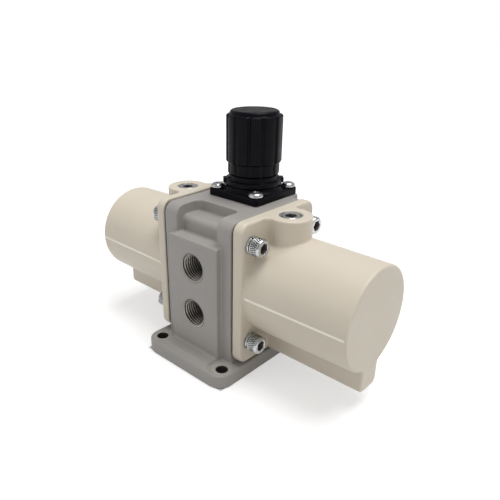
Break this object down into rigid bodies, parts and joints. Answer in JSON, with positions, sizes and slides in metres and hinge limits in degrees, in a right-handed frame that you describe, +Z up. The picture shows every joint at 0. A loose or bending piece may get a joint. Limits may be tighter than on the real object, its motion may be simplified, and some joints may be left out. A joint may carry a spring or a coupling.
{
  "type": "air pressure booster",
  "caption": "Compact air pressure booster: cylinders either side of a ported centre body on a foot, double piston inside, governor knob on top.",
  "frame": {"origin": "centre of the foot's underside", "axes": "X along the cylinders, -Y out of the face with the ports, +Z up along the knob"},
  "size_m": [0.173, 0.0836, 0.1287],
  "materials": {
    "grey_paint": "satin warm grey paint on an aluminium casting",
    "cream_paint": "satin cream paint on an aluminium casting",
    "seal_rubber": "matt black nitrile rubber",
    "bright_zinc": "bright zinc plated steel",
    "spring_steel": "drawn spring steel wire",
    "steel": "machined steel",
    "aluminium": "turned aluminium",
    "brass": "turned brass",
    "sintered_bronze": "porous sintered bronze",
    "black_plastic": "semi-gloss black moulded plastic"
  },
  "bodies": {
    "housing": {"center_body": "grey_paint", "cover_left": "cream_paint", "cover_right": "cream_paint", "gasket_left": "seal_rubber", "gasket_right": "seal_rubber", "bolt_left_1": "bright_zinc", "bolt_left_2": "bright_zinc", "bolt_left_3": "bright_zinc", "bolt_left_4": "bright_zinc", "bolt_right_1": "bright_zinc", "bolt_right_2": "bright_zinc", "bolt_right_3": "bright_zinc", "bolt_right_4": "bright_zinc", "washer_left_1": "bright_zinc", "washer_left_2": "bright_zinc", "washer_left_3": "bright_zinc", "washer_left_4": "bright_zinc", "washer_right_1": "bright_zinc", "washer_right_2": "bright_zinc", "washer_right_3": "bright_zinc", "washer_right_4": "bright_zinc", "gauge_plug_left": "steel", "gauge_plug_right": "steel", "bonnet": "black_plastic", "bonnet_screw_1": "bright_zinc", "bonnet_screw_2": "bright_zinc", "bonnet_screw_3": "bright_zinc", "bonnet_screw_4": "bright_zinc", "rod_seal_left": "seal_rubber", "rod_seal_right": "seal_rubber", "valve_sleeve": "brass", "exhaust_silencer": "sintered_bronze", "governor_seat": "brass", "check_ring_in_left": "brass", "check_ring_in_right": "brass", "check_ring_out_left": "brass", "check_ring_out_right": "brass"},
    "double_piston": {"piston_rod": "steel", "piston_left": "aluminium", "piston_right": "aluminium", "piston_seal_left": "seal_rubber", "piston_seal_right": "seal_rubber", "piston_nut_left": "bright_zinc", "piston_nut_right": "bright_zinc"},
    "spool": {"valve_spool": "steel", "switch_pin_left": "steel", "switch_pin_right": "steel"},
    "adjuster": {"adjusting_screw": "steel"},
    "knob": {"knob": "black_plastic"},
    "spring_nut": {"spring_nut": "brass", "regulating_spring": "spring_steel"},
    "governor_piston": {"governor_piston": "aluminium"},
    "governor_valve": {"governor_valve": "brass", "governor_valve_spring": "spring_steel"},
    "check_in_left": {"check_valve_in_left": "seal_rubber"},
    "check_out_left": {"check_valve_out_left": "seal_rubber"},
    "check_in_right": {"check_valve_in_right": "seal_rubber"},
    "check_out_right": {"check_valve_out_right": "seal_rubber"}
  },
  "joints": [
    {"name": "piston_stroke", "type": "slide", "parent": "housing", "child": "double_piston", "axis": [1, 0, 0], "range_m": [-0.018, 0.018]},
    {"name": "spool_shift", "type": "slide", "parent": "housing", "child": "spool", "axis": [1, 0, 0], "range_m": [-0.002, 0.002]},
    {"name": "knob_turn", "type": "hinge", "parent": "housing", "child": "adjuster", "pos_m": [0, 0.0142, 0.1088], "axis": [0, 0, 1], "range_deg": [-1440, 1440]},
    {"name": "knob_lift", "type": "slide", "parent": "adjuster", "child": "knob", "axis": [0, 0, 1], "range_m": [0, 0.0025]},
    {"name": "nut_travel", "type": "slide", "parent": "housing", "child": "spring_nut", "axis": [0, 0, 1], "range_m": [-0.004, 0.004], "deforming": ["regulating_spring"]},
    {"name": "governor_travel", "type": "slide", "parent": "housing", "child": "governor_piston", "axis": [0, 0, 1], "range_m": [-0.001, 0], "stiffness_N_per_m": 400, "springref_m": 0.002},
    {"name": "governor_valve_travel", "type": "slide", "parent": "housing", "child": "governor_valve", "axis": [0, 0, 1], "range_m": [-0.001, 0], "deforming": ["governor_valve_spring"]},
    {"name": "check_in_left_lift", "type": "slide", "parent": "housing", "child": "check_in_left", "axis": [-1, 0, 0], "range_m": [0, 0.0015], "stiffness_N_per_m": 60, "springref_m": -0.002},
    {"name": "check_out_left_lift", "type": "slide", "parent": "housing", "child": "check_out_left", "axis": [1, 0, 0], "range_m": [0, 0.0015], "stiffness_N_per_m": 60, "springref_m": -0.002},
    {"name": "check_in_right_lift", "type": "slide", "parent": "housing", "child": "check_in_right", "axis": [1, 0, 0], "range_m": [0, 0.0015], "stiffness_N_per_m": 60, "springref_m": -0.002},
    {"name": "check_out_right_lift", "type": "slide", "parent": "housing", "child": "check_out_right", "axis": [-1, 0, 0], "range_m": [0, 0.0015], "stiffness_N_per_m": 60, "springref_m": -0.002}
  ],
  "couplings": [
    {"joint": "spool_shift", "follows": "piston_stroke", "ratio": 0.1111},
    {"joint": "nut_travel", "follows": "knob_turn", "m_per_rad": 0.000159},
    {"joint": "governor_valve_travel", "follows": "governor_travel", "ratio": 1}
  ]
}
